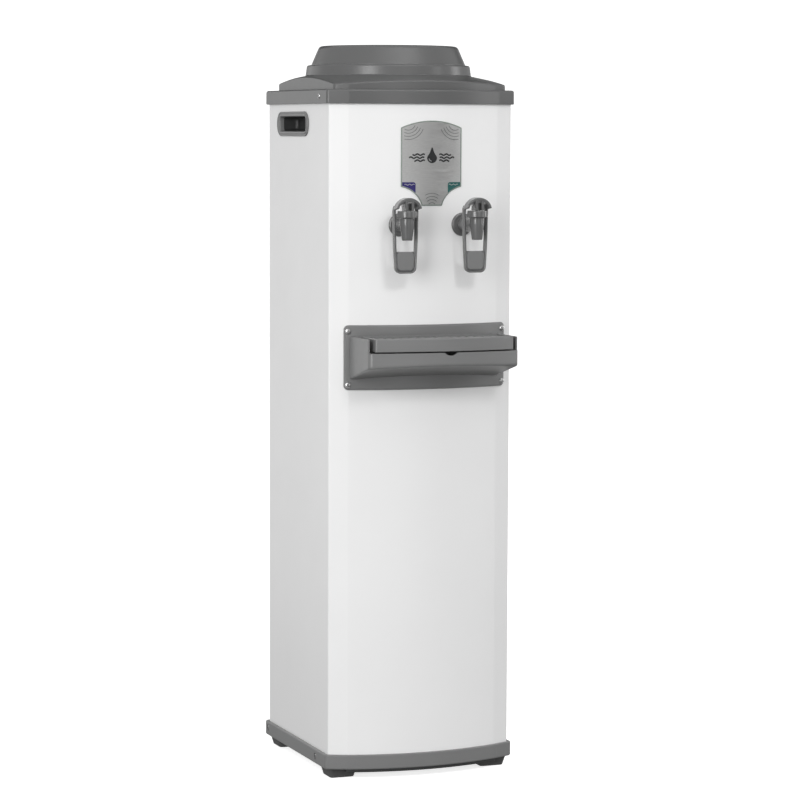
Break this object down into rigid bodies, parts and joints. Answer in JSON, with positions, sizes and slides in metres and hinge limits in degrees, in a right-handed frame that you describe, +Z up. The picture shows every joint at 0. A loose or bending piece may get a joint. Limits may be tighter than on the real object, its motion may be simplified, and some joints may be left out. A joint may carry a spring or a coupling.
{
  "type": "column water dispenser",
  "caption": "Floor-standing bottled water dispenser: white steel column with grey cover, bottle collar, side grips, lever taps, drip tray and rear condenser.",
  "frame": {"origin": "on the floor, under the middle of the whole object's width and depth", "axes": "+Z up, front with taps and drip tray towards -Y, +X towards the right hand of someone facing the front"},
  "size_m": [0.2756, 0.381, 0.998],
  "materials": {
    "white_paint": "smooth gloss powder coat",
    "grey_plastic": "satin grey",
    "dark_rubber": "matt dark grey",
    "brushed_steel": "brushed sideways",
    "zinc_steel": "zinc coated or stainless sheet",
    "black_paint": "semi gloss black enamel",
    "copper": "drawn copper tube",
    "white_plastic": "natural white",
    "foam": "expanded foam",
    "silicone": "translucent silicone"
  },
  "bodies": {
    "cabinet": {"base_tray": "grey_plastic", "foot_front_left": "dark_rubber", "foot_front_right": "dark_rubber", "foot_rear_left": "dark_rubber", "foot_rear_right": "dark_rubber", "cabinet_shell": "white_paint", "rear_panel": "zinc_steel", "top_cover": "grey_plastic", "grip_handle_left": "grey_plastic", "grip_handle_right": "grey_plastic", "badge_plate": "brushed_steel", "feed_funnel": "white_plastic", "tank_lid": "white_plastic", "water_tank": "zinc_steel", "separator_disc": "white_plastic", "insulation_jacket": "foam", "evaporator_coil": "copper", "tank_shelf": "zinc_steel", "compressor": "black_paint", "relay_cover": "black_paint", "condenser_coil": "black_paint", "condenser_bracket_upper": "black_paint", "condenser_bracket_lower": "black_paint", "filter_drier": "copper", "discharge_tube": "copper", "suction_tube": "copper", "capillary_tube": "copper", "thermostat": "white_plastic", "cord_gland": "dark_rubber", "drip_tray_housing": "grey_plastic", "tray_screw_left_lower": "zinc_steel", "tray_screw_left_upper": "zinc_steel", "tray_screw_right_lower": "zinc_steel", "tray_screw_right_upper": "zinc_steel", "cover_screw_left": "zinc_steel", "cover_screw_right": "zinc_steel", "tap_body_left": "grey_plastic", "tap_flange_left": "grey_plastic", "tap_nut_left": "white_plastic", "tap_hose_left": "silicone", "tap_bonnet_left": "grey_plastic", "tap_body_right": "grey_plastic", "tap_flange_right": "grey_plastic", "tap_nut_right": "white_plastic", "tap_hose_right": "silicone", "tap_bonnet_right": "grey_plastic"},
    "collar": {"bottle_collar": "grey_plastic"},
    "drip_tray": {"drip_tray": "grey_plastic"},
    "grille": {"drip_grille": "grey_plastic"},
    "knob": {"thermostat_knob": "grey_plastic"},
    "stem_left": {"tap_stem_left": "grey_plastic", "tap_seal_left": "silicone", "tap_spring_left": "zinc_steel"},
    "lever_left": {"tap_lever_left": "grey_plastic", "lever_pin_left": "zinc_steel"},
    "stem_right": {"tap_stem_right": "grey_plastic", "tap_seal_right": "silicone", "tap_spring_right": "zinc_steel"},
    "lever_right": {"tap_lever_right": "grey_plastic", "lever_pin_right": "zinc_steel"}
  },
  "joints": [
    {"name": "collar_lift", "type": "slide", "parent": "cabinet", "child": "collar", "axis": [0, 0, 1], "range_m": [0, 0.05]},
    {"name": "tray_slide", "type": "slide", "parent": "cabinet", "child": "drip_tray", "axis": [0, -1, 0], "range_m": [0, 0.08]},
    {"name": "grille_lift", "type": "slide", "parent": "drip_tray", "child": "grille", "axis": [0, 0, 1], "range_m": [0, 0.03]},
    {"name": "knob_turn", "type": "hinge", "parent": "cabinet", "child": "knob", "pos_m": [0.082, 0.1675, 0.86], "axis": [0, 1, 0], "range_deg": [0, 270]},
    {"name": "stem_lift_left", "type": "slide", "parent": "cabinet", "child": "stem_left", "axis": [0, 0, 1], "range_m": [0, 0.003], "deforming": ["tap_spring_left"]},
    {"name": "lever_press_left", "type": "hinge", "parent": "stem_left", "child": "lever_left", "pos_m": [-0.04521, -0.15413, 0.7823], "axis": [1, 0, 0], "range_deg": [0, 16], "stiffness_Nm_per_rad": 1.5},
    {"name": "stem_lift_right", "type": "slide", "parent": "cabinet", "child": "stem_right", "axis": [0, 0, 1], "range_m": [0, 0.003], "deforming": ["tap_spring_right"]},
    {"name": "lever_press_right", "type": "hinge", "parent": "stem_right", "child": "lever_right", "pos_m": [0.05601, -0.15263, 0.7823], "axis": [1, 0, 0], "range_deg": [0, 16], "stiffness_Nm_per_rad": 1.5}
  ],
  "couplings": [
    {"joint": "stem_lift_left", "follows": "lever_press_left", "m_per_rad": 0.009},
    {"joint": "stem_lift_right", "follows": "lever_press_right", "m_per_rad": 0.009}
  ]
}
